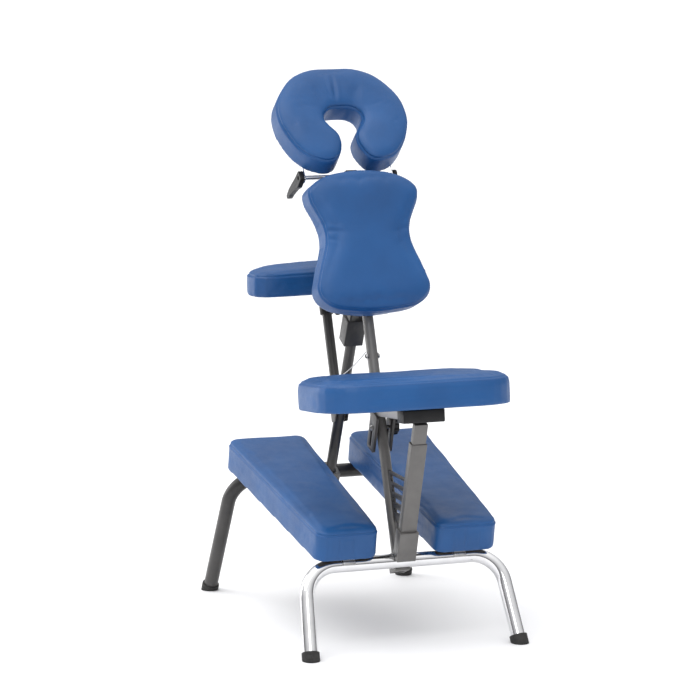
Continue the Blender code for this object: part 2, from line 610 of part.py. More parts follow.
ARM_TUBE_RADIUS, ARM_TUBE_TOP = 0.011, 0.257
COLLAR_LOW, COLLAR_HIGH, COLLAR_RADIUS = 0.236, 0.256, 0.0155
pipe("armrest_tube", ARM_TUBE_RADIUS, 0.0092, 0.034, ARM_TUBE_TOP, arm_tube, look=DARK_PAINT)
pipe("armrest_collar", COLLAR_RADIUS, ARM_TUBE_RADIUS + GAP, COLLAR_LOW, COLLAR_HIGH, arm_tube,
     look=BLACK_PLASTIC)
knob("armrest_height_knob", arm_tube, (COLLAR_RADIUS + GAP, 0, (COLLAR_LOW + COLLAR_HIGH) / 2),
     (0, -math.pi / 2, 0), 0.013, 0.012, -0.0003)
arm_post = rod("armrest_post", 0.0088, 0.080, ARM_HINGE - 0.006, arm_tube, look=STEEL)
join(arm_post, rod("add_knuckle", 0.011, -0.012, 0.012, arm, rotation=ALONG_X), "UNION")
cross_hole(arm_post, "knuckle_hole", PIN_RADIUS, arm, 0.0, 0.0)

GUSSET = 0.003
gusset_outline = fillet([(-0.010, -0.014), (0.014, -0.012), (0.011, 0.075), (-0.010, 0.075), (-0.050, 0.040),
                         (-0.034, 0.016)], 0.004, 3)
for side in (-1, 1):
    middle = side * (TUBE_RADIUS + 0.0005 + GUSSET / 2)
    flat(side_name("armrest_gusset", side), [gusset_outline], GUSSET, arm_tube, (middle, 0, 0), SIDE_ON,
         DARK_PAINT)

PLATE_LOW, PLATE_HIGH = 0.0136, 0.0166
bracket = box("armrest_bracket", (-0.045, -0.095, PLATE_LOW), (0.045, 0.020, PLATE_HIGH), arm, GREY_PAINT)
for side in (-1, 1):
    near, far = sorted((side * 0.0125, side * 0.0155))
    ear = box(side_name("add_bracket_ear", side), (near, -0.020, -0.010), (far, 0.012, PLATE_LOW + 0.001),
              arm)
    join(bracket, ear, "UNION")
cross_hole(bracket, "bracket_hole", PIN_RADIUS, arm, 0.0, 0.0)
headed_pin("armrest_tilt_bolt", 0.0158, 0.0065, 0.004, arm, 0.0, 0.0)


def crescent(inset):
    """The armrest's outline: a long pad whose ends are swept back towards the sitter."""
    half_length, half_depth, sweep, points = 0.209 - inset, 0.080 - inset, 0.045, 28
    loop = []
    for step in range(points):
        angle = 2 * math.pi * step / points
        x = half_length * math.copysign(abs(math.cos(angle)) ** 0.85, math.cos(angle))
        y = half_depth * math.copysign(abs(math.sin(angle)) ** 0.75, math.sin(angle))
        loop.append((x, y - sweep * (x / half_length) ** 2))
    return loop


ARM_CENTRE, ARM_EDGE = -0.040, 0.016
flat("armrest_board", [crescent(0.012)], THIN_BOARD, arm, (0, ARM_CENTRE, PLATE_HIGH + GAP + THIN_BOARD / 2),
     look=WOOD)
flat("armrest_cushion", [crescent(ARM_EDGE)], ARM_PAD, arm,
     (0, ARM_CENTRE, PLATE_HIGH + THIN_BOARD + 2 * GAP + ARM_PAD / 2), look=BLUE_VINYL, edge=ARM_EDGE)

# ---------------------------------------------------------------- stay wire from the mast to the strut

WIRE_X = -0.0148
wire_start = root.matrix.inverted() @ (mast.matrix @ Vector((WIRE_X, 0.0, STAY_BOLT + 0.0084)))
wire_end = Vector((WIRE_X, 0.160, 0.505))
wire_path = [wire_start.lerp(wire_end, step / 4) for step in range(5)]
bent_tube("stay_wire", wire_path, 0.0014, root, ((0.8, 0.8, 0.8), 0.3, 1.0), sides=8)
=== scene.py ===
"""The looks of the kneeling massage chair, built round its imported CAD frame: metres, +Z up."""

import json
import math

import bmesh
import bpy
import numpy as np
from mathutils import Matrix, Vector, noise


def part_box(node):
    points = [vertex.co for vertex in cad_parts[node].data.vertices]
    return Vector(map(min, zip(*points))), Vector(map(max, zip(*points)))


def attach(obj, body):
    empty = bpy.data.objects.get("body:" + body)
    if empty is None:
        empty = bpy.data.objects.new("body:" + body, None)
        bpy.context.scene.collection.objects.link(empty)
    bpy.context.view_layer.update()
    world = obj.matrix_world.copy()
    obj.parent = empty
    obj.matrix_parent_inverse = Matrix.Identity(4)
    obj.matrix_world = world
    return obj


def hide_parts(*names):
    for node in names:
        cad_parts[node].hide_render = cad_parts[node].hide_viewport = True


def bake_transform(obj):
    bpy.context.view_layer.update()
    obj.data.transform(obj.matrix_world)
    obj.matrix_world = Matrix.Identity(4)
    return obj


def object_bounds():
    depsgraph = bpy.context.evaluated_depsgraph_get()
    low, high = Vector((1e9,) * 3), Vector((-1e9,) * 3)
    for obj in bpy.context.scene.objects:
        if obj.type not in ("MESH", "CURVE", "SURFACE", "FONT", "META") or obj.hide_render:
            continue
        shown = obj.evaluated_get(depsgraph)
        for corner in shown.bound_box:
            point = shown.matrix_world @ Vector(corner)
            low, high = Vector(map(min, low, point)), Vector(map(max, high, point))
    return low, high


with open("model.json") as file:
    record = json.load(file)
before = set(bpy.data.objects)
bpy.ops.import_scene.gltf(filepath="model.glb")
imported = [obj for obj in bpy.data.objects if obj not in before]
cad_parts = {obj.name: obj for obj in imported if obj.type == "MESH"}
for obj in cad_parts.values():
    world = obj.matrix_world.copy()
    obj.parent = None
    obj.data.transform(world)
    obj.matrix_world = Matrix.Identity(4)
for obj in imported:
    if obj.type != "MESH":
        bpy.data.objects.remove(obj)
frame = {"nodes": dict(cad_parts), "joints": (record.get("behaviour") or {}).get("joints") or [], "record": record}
cad_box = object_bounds()
nodes = frame["nodes"]
record = frame["record"]
joints = {joint["name"]: joint for joint in frame["joints"]}
body_of = {node: body for body, members in record["behaviour"]["bodies"].items() for node in members}
slot_of = {part["node"]: part["material_slot"] for part in record["subparts"]}
scene = bpy.context.scene
replaced = set()

# ---------------------------------------------------------------- camera, lights and floor

CAMERA_PLACE, CAMERA_AIM = Vector((-2.5774, -7.1136, 1.8024)), Vector((-0.0191, 0.0277, 0.6021))
CAMERA_LENS = 177.9
FLOOR_HALF = 60.0


def make_camera():
    camera = bpy.data.objects.new("camera", bpy.data.cameras.new("camera"))
    camera.location = CAMERA_PLACE
    camera.rotation_euler = (CAMERA_AIM - CAMERA_PLACE).to_track_quat("-Z", "Y").to_euler()
    camera.data.lens = CAMERA_LENS
    camera.data.clip_end = 200.0
    scene.collection.objects.link(camera)
    scene.camera = camera


def area_light(name, place, aim, size, power):
    light = bpy.data.lights.new(name, "AREA")
    light.size = size
    light.energy = power
    lamp = bpy.data.objects.new(name, light)
    lamp.location = place
    lamp.rotation_euler = (Vector(aim) - Vector(place)).to_track_quat("-Z", "Y").to_euler()
    scene.collection.objects.link(lamp)


def sun_light(name, towards, strength, angle):
    light = bpy.data.lights.new(name, "SUN")
    light.energy = strength
    light.angle = math.radians(angle)
    lamp = bpy.data.objects.new(name, light)
    lamp.rotation_euler = Vector(towards).to_track_quat("-Z", "Y").to_euler()
    scene.collection.objects.link(lamp)


def studio_sky():
    """A soft dome: dark at the horizon, so that chrome has something to show, and white overhead."""
    world = bpy.data.worlds.new("studio")
    world.use_nodes = True
    scene.world = world
    tree = world.node_tree
    where = tree.nodes.new("ShaderNodeTexCoord")
    split = tree.nodes.new("ShaderNodeSeparateXYZ")
    ramp = tree.nodes.new("ShaderNodeValToRGB")
    tree.links.new(where.outputs["Generated"], split.inputs["Vector"])
    tree.links.new(split.outputs["Z"], ramp.inputs["Fac"])
    tree.links.new(ramp.outputs["Color"], tree.nodes["Background"].inputs["Color"])
    tree.nodes["Background"].inputs["Strength"].default_value = 1.35
    ramp.color_ramp.elements[0].color = (0.02, 0.02, 0.022, 1.0)
    ramp.color_ramp.elements[1].color = (1.0, 1.0, 1.0, 1.0)
    ramp.color_ramp.elements[1].position = 0.85
    middle = ramp.color_ramp.elements.new(0.30)
    middle.color = (0.42, 0.42, 0.43, 1.0)


def make_floor():
    bm = bmesh.new()
    bmesh.ops.create_grid(bm, x_segments=8, y_segments=8, size=FLOOR_HALF)
    mesh = bpy.data.meshes.new("floor")
    bm.to_mesh(mesh)
    bm.free()
    floor = bpy.data.objects.new("floor", mesh)
    floor.location = (0.0, 0.0, cad_box[0].z - 0.0002)
    scene.collection.objects.link(floor)
    mesh.materials.append(plain_material("studio_floor", (0.965, 0.965, 0.975), 0.55))


# ---------------------------------------------------------------- materials


def plain_material(name, colour, roughness, metallic=0.0, **sockets):
    made = bpy.data.materials.new(name)
    made.use_nodes = True
    shader = made.node_tree.nodes["Principled BSDF"]
    shader.inputs["Base Color"].default_value = (*colour, 1.0)
    shader.inputs["Roughness"].default_value = roughness
    shader.inputs["Metallic"].default_value = metallic
    for socket, value in sockets.items():
        shader.inputs[socket.replace("_", " ")].default_value = value
    return made


def texture(tree, kind, scale, stretch=(1.0, 1.0, 1.0), **values):
    """A texture node in the piece's own coordinates, in cells per metre."""
    where = tree.nodes.new("ShaderNodeTexCoord")
    mapping = tree.nodes.new("ShaderNodeMapping")
    mapping.inputs["Scale"].default_value = stretch
    made = tree.nodes.new(f"ShaderNodeTex{kind}")
    made.inputs["Scale"].default_value = scale
    for key, value in values.items():
        if key in made.inputs:
            made.inputs[key].default_value = value
        else:
            setattr(made, key, value)
    tree.links.new(where.outputs["Object"], mapping.inputs["Vector"])
    tree.links.new(mapping.outputs["Vector"], made.inputs["Vector"])
    return made


def ramp(tree, source, low, high, start=0.3, end=0.7):
    """Maps a texture's value to a run from one colour, or one number, to another."""
    made = tree.nodes.new("ShaderNodeValToRGB")
    for element, position, value in zip(made.color_ramp.elements, (start, end), (low, high)):
        element.position = position
        element.color = (*value, 1.0) if isinstance(value, tuple) else (value, value, value, 1.0)
    tree.links.new(source, made.inputs["Fac"])
    return made.outputs["Color"]


def bump(tree, layers):
    """Stacks height layers, each (socket, strength, distance), onto the shader's normal."""
    before = None
    for height, strength, distance in layers:
        node = tree.nodes.new("ShaderNodeBump")
        node.inputs["Strength"].default_value = strength
        node.inputs["Distance"].default_value = distance
        tree.links.new(height, node.inputs["Height"])
        if before:
            tree.links.new(before, node.inputs["Normal"])
        before = node.outputs["Normal"]
    tree.links.new(before, tree.nodes["Principled BSDF"].inputs["Normal"])


def detailed(name, dark, light, roughness, metallic=0.0, patch=18.0, **sockets):
    """A material whose colour drifts from dark to light, and whose roughness drifts between two values."""
    made = plain_material(name, dark, roughness[0], metallic, **sockets)
    tree = made.node_tree
    shader = tree.nodes["Principled BSDF"]
    drift = texture(tree, "Noise", patch, Detail=4.0)
    tree.links.new(ramp(tree, drift.outputs["Fac"], dark, light), shader.inputs["Base Color"])
    wear = texture(tree, "Noise", patch * 5, Detail=6.0)
    tree.links.new(ramp(tree, wear.outputs["Fac"], *roughness), shader.inputs["Roughness"])
    return made, tree


def vinyl_material():
    made, tree = detailed("blue_vinyl", (0.004, 0.060, 0.200), (0.007, 0.082, 0.262), (0.40, 0.50), patch=7.0,
                          Specular_IOR_Level=0.45)
    grain = texture(tree, "Voronoi", 620.0, feature="DISTANCE_TO_EDGE")
    pebbles = ramp(tree, grain.outputs["Distance"], 0.0, 1.0, 0.0, 0.22)
    fine = texture(tree, "Noise", 1500.0, Detail=3.0)
    slack = texture(tree, "Noise", 38.0, Detail=2.0)
    bump(tree, [(slack.outputs["Fac"], 0.22, 0.0030), (pebbles, 0.30, 0.00016),
                (fine.outputs["Fac"], 0.25, 0.00010)])
    return made


def thread_material():
    made, tree = detailed("blue_thread", (0.020, 0.075, 0.25), (0.03, 0.11, 0.32), (0.55, 0.7), patch=300.0)
    twist = texture(tree, "Wave", 900.0, Distortion=1.0)
    bump(tree, [(twist.outputs["Fac"], 0.5, 0.0002)])
    return made


def chrome_material():
    made, tree = detailed("chrome", (0.70, 0.70, 0.71), (0.78, 0.78, 0.79), (0.05, 0.10), 1.0, patch=30.0)
    waves = texture(tree, "Noise", 24.0, Detail=1.0)
    haze = texture(tree, "Noise", 900.0, Detail=2.0)
    bump(tree, [(waves.outputs["Fac"], 0.05, 0.002), (haze.outputs["Fac"], 0.04, 0.0001)])
    return made


def steel_material():
    made, tree = detailed("zinc_steel", (0.46, 0.46, 0.47), (0.62, 0.61, 0.59), (0.26, 0.42), 1.0, patch=60.0)
    brushed = texture(tree, "Noise", 300.0, (1.0, 1.0, 0.06), Detail=3.0)
    bump(tree, [(brushed.outputs["Fac"], 0.12, 0.0002)])
    return made


def paint_material(name, dark, light):
    """Powder coat: an orange-peel skin, a little lighter where edges have rubbed."""
    made, tree = detailed(name, dark, light, (0.34, 0.48), 0.25, patch=26.0, Coat_Weight=0.12,
                          Coat_Roughness=0.3)
    shader = tree.nodes["Principled BSDF"]
    drift = shader.inputs["Base Color"].links[0].from_socket
    shape = tree.nodes.new("ShaderNodeNewGeometry")
    edge = ramp(tree, shape.outputs["Pointiness"], 0.0, 0.55, 0.53, 0.60)
    mixed = tree.nodes.new("ShaderNodeMix")
    mixed.data_type = "RGBA"
    mixed.inputs["B"].default_value = (*[min(1.0, value * 2.0) for value in light], 1.0)
    tree.links.new(edge, mixed.inputs["Factor"])
    tree.links.new(drift, mixed.inputs["A"])
    tree.links.new(mixed.outputs["Result"], shader.inputs["Base Color"])
    peel = texture(tree, "Noise", 700.0, Detail=2.0)
    bump(tree, [(peel.outputs["Fac"], 0.22, 0.00018)])
    return made


def plastic_material():
    made, tree = detailed("black_plastic", (0.006, 0.006, 0.0065), (0.013, 0.013, 0.014), (0.36, 0.50),
                          patch=40.0, Specular_IOR_Level=0.3)
    spark = texture(tree, "Voronoi", 1400.0)
    bump(tree, [(spark.outputs["Distance"], 0.18, 0.0001)])
    return made


def rubber_material():
    made, tree = detailed("black_rubber", (0.012, 0.012, 0.012), (0.030, 0.029, 0.028), (0.66, 0.85),
                          patch=50.0)
    pits = texture(tree, "Noise", 500.0, Detail=5.0)
    bump(tree, [(pits.outputs["Fac"], 0.35, 0.0003)])
    return made


def board_material():
    """Black-stained plywood: a drawn-out grain that the stain leaves just visible."""
    made, tree = detailed("stained_plywood", (0.014, 0.012, 0.011), (0.034, 0.030, 0.028), (0.62, 0.78),
                          patch=12.0)
    grain = texture(tree, "Wave", 60.0, (1.0, 0.12, 1.0), Distortion=7.0, Detail=3.0)
    fibre = texture(tree, "Noise", 420.0, (1.0, 0.05, 1.0), Detail=4.0)
    bump(tree, [(grain.outputs["Fac"], 0.25, 0.0004), (fibre.outputs["Fac"], 0.3, 0.0002)])
    return made


MATERIALS = {
    "blue_vinyl": vinyl_material(),
    "thread": thread_material(),
    "chrome": chrome_material(),
    "steel": steel_material(),
    "grey_paint": paint_material("grey_powder_coat", (0.088, 0.085, 0.083), (0.120, 0.116, 0.112)),
    "dark_paint": paint_material("dark_powder_coat", (0.022, 0.021, 0.021), (0.040, 0.038, 0.037)),
    "light_paint": paint_material("light_powder_coat", (0.20, 0.197, 0.20), (0.27, 0.265, 0.27)),
    "black_plastic": plastic_material(),
    "rubber": rubber_material(),
    "plywood": board_material(),
}

# ---------------------------------------------------------------- frames and measures from the CAD


def frame_along(origin, up):
    """The matrix of a frame with X across the chair and Z along up."""
    z = Vector(up).normalized()
    x = Vector((1.0, 0.0, 0.0))
    turn = Matrix((x, z.cross(x), z)).transposed()
    return Matrix.Translation(Vector(origin)) @ turn.to_4x4()


def centre(name):
    low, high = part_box(name)
    return (low + high) / 2


def points_of(name, matrix):
    """A CAD node's points in a frame's own axes."""
    inverse = np.array(matrix.inverted())
    points = np.array([vertex.co for vertex in nodes[name].data.vertices])
    return points @ inverse[:3, :3].T + inverse[:3, 3]


def extent(name, matrix):
    points = points_of(name, matrix)
    return Vector(points.min(0)), Vector(points.max(0))


def plate_frame(board, cushion):
    """The frame of an upholstered board: Z square to it, towards its cushion, and 0 at its middle."""
    normal = max(nodes[board].data.polygons, key=lambda face: face.area).normal.copy()
    if normal.dot(centre(cushion) - centre(board)) < 0:
        normal.negate()
    return frame_along(centre(board), normal)


MAST = frame_along(joints["frame_fold"]["pos_m"], joints["chest_height"]["axis"])
ARM_TUBE = frame_along(centre("armrest_tube"), joints["armrest_height"]["axis"])


# ---------------------------------------------------------------- ways to make a piece


def finish_piece(piece, slot, body, *stood_for, material=None):
    """Gives a piece its material, chosen by its slot unless one is named, and lets it ride and stand for its CAD
    nodes.
    """
    piece.data.materials.clear()
    piece.data.materials.append(MATERIALS[material or slot])
    if body:
        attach(piece, body)
    if stood_for:
        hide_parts(*stood_for)
        replaced.update(stood_for)
    return piece


def new_piece(name, mesh):
    piece = bpy.data.objects.new(name, mesh)
    scene.collection.objects.link(piece)
    return piece


def shade(mesh, angle=35.0):
    mesh.shade_smooth()
    mesh.set_sharp_from_angle(angle=math.radians(angle))


def applied(piece):
    """The piece with its modifiers worked into its mesh."""
    bpy.context.view_layer.update()
    graph = bpy.context.evaluated_depsgraph_get()
    mesh = bpy.data.meshes.new_from_object(piece.evaluated_get(graph))
    piece.modifiers.clear()
    piece.data = mesh
    return piece


def clean_copy(name):
    """A CAD node's mesh with its seams closed and its flat faces whole."""
    bm = bmesh.new()
    bm.from_mesh(nodes[name].data)
    bmesh.ops.remove_doubles(bm, verts=bm.verts, dist=0.00001)
    bmesh.ops.dissolve_limit(bm, angle_limit=math.radians(1.0), verts=bm.verts, edges=bm.edges)
    mesh = bpy.data.meshes.new(name)
    bm.to_mesh(mesh)
    bm.free()
    return mesh


def refined(name, bevel=0.0006, steps=2):
    """A CAD node with its sharp edges rounded a little, as any real edge is."""
    piece = new_piece(f"{name}_shape", clean_copy(name))
    if bevel:
        rounding = piece.modifiers.new("edges", "BEVEL")
        rounding.width = bevel
        rounding.segments = steps
        rounding.limit_method = "ANGLE"
        rounding.angle_limit = math.radians(40.0)
        applied(piece)
    shade(piece.data, 40.0)
    return finish_piece(piece, slot_of[name], body_of[name], name)


def lathe(name, profile, matrix, steps=64, closed=False, lobes=0, depth=0.0, hub=0.0):
    """Turns a profile of (radius, height) about Z. Lobes press a grip's outline in between its ridges."""
    bm = bmesh.new()
    rings = []
    for radius, height in profile:
        ring = []
        for step in range(steps):
            angle = 2 * math.pi * step / steps
            share = max(0.0, radius - hub)
            reach = radius - share * depth * (0.5 - 0.5 * math.cos(lobes * angle)) if lobes else radius
            ring.append(bm.verts.new((reach * math.cos(angle), reach * math.sin(angle), height)))
        rings.append(ring)
    pairs = list(zip(rings, rings[1:])) + ([(rings[-1], rings[0])] if closed else [])
    for first, second in pairs:
        for step in range(steps):
            after = (step + 1) % steps
            bm.faces.new((first[step], first[after], second[after], second[step]))
    bmesh.ops.remove_doubles(bm, verts=bm.verts, dist=0.000001)
    bmesh.ops.recalc_face_normals(bm, faces=bm.faces)
    bmesh.ops.transform(bm, matrix=matrix, verts=bm.verts)
    mesh = bpy.data.meshes.new(name)
    bm.to_mesh(mesh)
    bm.free()
    shade(mesh)
    return new_piece(name, mesh)


def round_tube(name, matrix, wall=0.0018):
    """A straight CAD tube turned afresh, with chamfered ends."""
    low, high = extent(name, matrix)
    outer, soft = (high.x - low.x) / 2, 0.0005
    middle = Vector(((low.x + high.x) / 2, (low.y + high.y) / 2, 0.0))
    profile = [(outer, high.z - soft), (outer, low.z + soft), (outer - soft, low.z), (outer - wall, low.z),
               (outer - wall, high.z), (outer - soft, high.z)]
    tube = lathe(f"{name}_shape", profile, matrix @ Matrix.Translation(middle), closed=True)
    return finish_piece(tube, slot_of[name], body_of[name], name)


# ---------------------------------------------------------------- the two bent legs

LEG_BEND = 0.072  # as on the CAD's tube, along its middle
RAIL_SKIN, FOOT_PART = 0.0004, 0.030  # how deep the rail's top points and the foot's points are looked for
SIDE_FROM = 0.06  # above the floor


def arc_path(corners, radius, steps):
    """The corners' line with each inner corner turned into an arc."""
    path = [corners[0]]
    for before, corner, after in zip(corners, corners[1:], corners[2:]):
        back, ahead = (before - corner).normalized(), (after - corner).normalized()
        half = back.angle(ahead) / 2
        middle = corner + (back + ahead).normalized() * (radius / math.sin(half))
        start = corner + back * (radius / math.tan(half)) - middle
        end = corner + ahead * (radius / math.tan(half)) - middle
        sweep = start.angle(end)
        for step in range(steps + 1):
            share = step / steps
            arc = start * math.sin((1 - share) * sweep) + end * math.sin(share * sweep)
            path.append(middle + arc / math.sin(sweep))
    return path + [corners[-1]]


def tube_along(name, path, radius, resolution=10):
    curve = bpy.data.curves.new(name, "CURVE")
    curve.dimensions = "3D"
    curve.bevel_depth = radius
    curve.bevel_resolution = resolution
    curve.use_fill_caps = True
    spline = curve.splines.new("POLY")
    spline.points.add(len(path) - 1)
    for point, at in zip(spline.points, path):
        point.co = (*at, 1.0)
    piece = new_piece(name, curve)
    bpy.context.view_layer.update()
    mesh = bpy.data.meshes.new_from_object(piece.evaluated_get(bpy.context.evaluated_depsgraph_get()))
    bpy.data.objects.remove(piece)
    bm = bmesh.new()
    bm.from_mesh(mesh)
    bmesh.ops.remove_doubles(bm, verts=bm.verts, dist=0.000002)
    bmesh.ops.recalc_face_normals(bm, faces=bm.faces)
    bm.to_mesh(mesh)
    bm.free()
    shade(mesh, 50.0)
    return new_piece(name, mesh)


def middle_of(points):
    return Vector([(values.min() + values.max()) / 2 for values in points.T])


def bent_leg(name):
    """Follows the CAD's tube: its rail from its top points, its side from points half way up."""
    points = points_of(name, Matrix.Identity(4))
    heights = points[:, 2]
    top = points[heights > heights.max() - RAIL_SKIN]
    right = points[(heights < heights.min() + FOOT_PART) & (points[:, 0] > 0)]
    foot = middle_of(right)
    radius = (right[:, 0].max() - right[:, 0].min()) / 2
    rail = Vector((0.0, middle_of(top).y, heights.max() - radius))
    below_bend = points[(heights < rail.z - LEG_BEND * 0.6) & (points[:, 0] > 0) & (heights > SIDE_FROM)]
    side = middle_of(below_bend[below_bend[:, 2] > below_bend[:, 2].max() - 2 * radius])
    corner = foot + (side - foot) * ((rail.z - foot.z) / (side.z - foot.z))
    corner.y, corner.z = rail.y, rail.z
    right_side = [foot, corner]
    corners = [Vector((-at.x, at.y, at.z)) for at in right_side] + right_side[::-1]
    leg = tube_along(f"{name}_shape", arc_path(corners, LEG_BEND, 18), radius)
    return finish_piece(leg, slot_of[name], body_of[name], name)


# ---------------------------------------------------------------- cushions

VOXEL = 0.0048  # the cloth's cells
WRAP = 0.0006  # the board stands this far below the vinyl's hem
SLIDE = 0.0012  # how far the settled skin may slip along itself
INWARD = 0.0003  # how far the skin may sink
SIDE_SHARE, CROWN_SHARE = 0.3, 0.35  # of the cap: the sides' swelling, the crown's height above the CAD's top
CLOTH_FRAMES, STIFFNESS = 20, 12.0
HALF_SEAM, GROOVE, SWELL = 0.0016, 0.0018, 0.0007  # half the seam's width, its depth, the rise beside it
SLACK, SLACK_SCALE = 0.0012, 14.0  # height and fineness of the vinyl's unevenness
STITCH_PITCH, STITCH, THREAD_RADIUS, BELOW_SEAM = 0.0046, 0.0034, 0.00042, 0.0042


class Cushion:
    """One upholstered pad, worked in its board's frame from the CAD's plain solid."""

    def __init__(self, node, board, fill, cap, seam, creases):
        """Fill, the padding's share, is not used; cap is the top's swelling, seam its height as a share of the
        side's.
        """
        self.node, self.fill, self.cap, self.seam, self.creases = node, fill, cap, seam, creases
        self.matrix = plate_frame(board, node)
        self.low, self.high = extent(node, self.matrix)
        self.bottom = extent(board, self.matrix)[0].z + WRAP
        self.start()

    def start(self):
        """The CAD solid's upper half, with straight sides down over the board, cut into even cells."""
        mesh = clean_copy(self.node)
        mesh.transform(self.matrix.inverted())
        bm = bmesh.new()
        bm.from_mesh(mesh)
        middle = (self.low.z + self.high.z) / 2
        everything = bm.verts[:] + bm.edges[:] + bm.faces[:]
        bmesh.ops.bisect_plane(bm, geom=everything, plane_co=(0, 0, middle), plane_no=(0, 0, 1),
                               clear_inner=True)
        rim = [edge for edge in bm.edges if edge.is_boundary]
        lower = bmesh.ops.extrude_edge_only(bm, edges=rim)["geom"]
        for vertex in lower:
            if isinstance(vertex, bmesh.types.BMVert):
                vertex.co.z = self.bottom
        bmesh.ops.holes_fill(bm, edges=[edge for edge in bm.edges if edge.is_boundary])
        bmesh.ops.recalc_face_normals(bm, faces=bm.faces)
        bm.to_mesh(mesh)
        bm.free()
        self.piece = new_piece(f"{self.node}_soft", mesh)
        remesh = self.piece.modifiers.new("cells", "REMESH")
        remesh.mode = "VOXEL"
        remesh.voxel_size = VOXEL
        applied(self.piece)
        smooth = self.piece.modifiers.new("even", "SMOOTH")
        smooth.iterations = 3
        smooth.factor = 0.5
        applied(self.piece)
        self.rest = self.points()
        self.rest_normals = np.array([vertex.normal for vertex in self.piece.data.vertices])

    def points(self):
        found = np.zeros(len(self.piece.data.vertices) * 3, np.float32)
        self.piece.data.vertices.foreach_get("co", found)
        return found.reshape(-1, 3).astype(float)

    def put(self, points):
        self.piece.data.vertices.foreach_set("co", points.astype(np.float32).ravel())
        self.piece.data.update()

    def add_cloth(self):
        held = self.piece.vertex_groups.new(name="held")
        for index in np.nonzero(self.rest[:, 2] < self.bottom + 0.003)[0]:
            held.add([int(index)], 1.0, "REPLACE")
        cloth = self.piece.modifiers.new("cloth", "CLOTH")
        settings = cloth.settings
        settings.quality = 4
        settings.mass = 0.25
        settings.tension_stiffness = settings.compression_stiffness = STIFFNESS
        settings.shear_stiffness = STIFFNESS / 2
        settings.bending_stiffness = 0.6
        settings.use_pressure = True
        settings.uniform_pressure_force = 4.0
        settings.vertex_group_mass = "held"
        settings.effector_weights.gravity = 0.0
        cloth.collision_settings.use_collision = False
        cloth.point_cache.frame_start = 1
        cloth.point_cache.frame_end = CLOTH_FRAMES + 10

    def settle(self):
        """Takes the blown-up skin: outwards up to the cap, less at the sides, and a little along itself."""
        applied(self.piece)
        moved = self.points() - self.rest
        out = np.clip((moved * self.rest_normals).sum(1, keepdims=True), -INWARD, None)
        slide = moved - (moved * self.rest_normals).sum(1, keepdims=True) * self.rest_normals
        length = np.linalg.norm(slide, axis=1, keepdims=True) + 1e-9
        cap = self.cap * (SIDE_SHARE + (1 - SIDE_SHARE) * np.clip(self.rest_normals[:, 2:], 0, 1))
        self.put(self.rest + self.rest_normals * cap * np.tanh(out / cap)
                 + slide / length * SLIDE * np.tanh(length / SLIDE))

    def fit(self):
        """Draws the form to the CAD's sides, and lets its crown stand a little above the CAD's flat top."""
        points = self.points()
        low, high = points.min(0), points.max(0)
        wanted_low = np.array((self.low.x, self.low.y, self.bottom))
        wanted_high = np.array(self.high) + (0.0, 0.0, CROWN_SHARE * self.cap)
        self.put(wanted_low + (points - low) * (wanted_high - wanted_low) / (high - low))

    def sew(self):
        """One finer level, a seam groove round the side, creases and slack."""
        self.fit()
        finer = self.piece.modifiers.new("finer", "SUBSURF")
        finer.levels = finer.render_levels = 1
        applied(self.piece)
        self.seam_z = self.bottom + (self.high.z - self.bottom) * self.seam
        levels = [self.seam_z + HALF_SEAM * step for step in (-2, -1, 0, 1, 2)]
        bm = bmesh.new()
        bm.from_mesh(self.piece.data)
        for level in levels:
            everything = bm.verts[:] + bm.edges[:] + bm.faces[:]
            bmesh.ops.bisect_plane(bm, geom=everything, dist=0.0002, plane_co=(0, 0, level),
                                   plane_no=(0, 0, 1))
        bm.normal_update()
        low = Vector((self.low.x, self.low.y, self.bottom))
        span = self.high - low
        for vertex in bm.verts:
            at = vertex.co.copy()
            flatwise = Vector((vertex.normal.x, vertex.normal.y, 0.0))
            side = min(1.0, flatwise.length * 1.3)
            off = abs(at.z - self.seam_z)
            groove = GROOVE * math.exp(-((off / (HALF_SEAM * 0.9)) ** 2))
            swell = SWELL * math.exp(-(((off - 3 * HALF_SEAM) / (HALF_SEAM * 1.4)) ** 2))
            vertex.co -= flatwise * (groove - swell) * side
            if vertex.normal.z > -0.6:
                vertex.co += vertex.normal * SLACK * noise.noise(at * SLACK_SCALE)
            shares = Vector([(at[axis] - low[axis]) / span[axis] for axis in range(3)])
            for crease in self.creases:
                vertex.co -= vertex.normal * crease.depth_at(shares, span)
        bm.to_mesh(self.piece.data)
        bm.free()

    def ring(self, level):
        """The outline of the finished form at one height, in order."""
        bm = bmesh.new()
        bm.from_mesh(self.piece.data)
        everything = bm.verts[:] + bm.edges[:] + bm.faces[:]
        cut = bmesh.ops.bisect_plane(bm, geom=everything, dist=0.000001, plane_co=(0, 0, level),
                                     plane_no=(0, 0, 1))
        edges = [item for item in cut["geom_cut"] if isinstance(item, bmesh.types.BMEdge)]
        nearby = {}
        for edge in edges:
            for vertex in edge.verts:
                nearby.setdefault(vertex, []).append(edge.other_vert(vertex))
        start = next(iter(nearby))
        loop, before, here = [start], None, start
        while True:
            ahead = [vertex for vertex in nearby[here] if vertex is not before and vertex is not here]
            if not ahead or ahead[0] is start or len(loop) > len(edges):
                break
            before, here = here, ahead[0]
            loop.append(here)
        found = [vertex.co.copy() for vertex in loop]
        bm.free()
        return found

    def stitches(self):
        """The seam's thread: short stitches just below it, as a mesh of their own."""
        loop = self.ring(self.seam_z - BELOW_SEAM)
        curve = bpy.data.curves.new(f"{self.node}_stitches", "CURVE")
        curve.dimensions = "3D"
        curve.bevel_depth = THREAD_RADIUS
        curve.bevel_resolution = 1
        curve.use_fill_caps = True
        steps = np.array([(after - here).length for here, after in zip(loop, loop[1:] + loop[:1])])
        places = np.concatenate([[0.0], np.cumsum(steps)])
        closed = np.array([*loop, loop[0]])
        count = int(places[-1] / STITCH_PITCH)

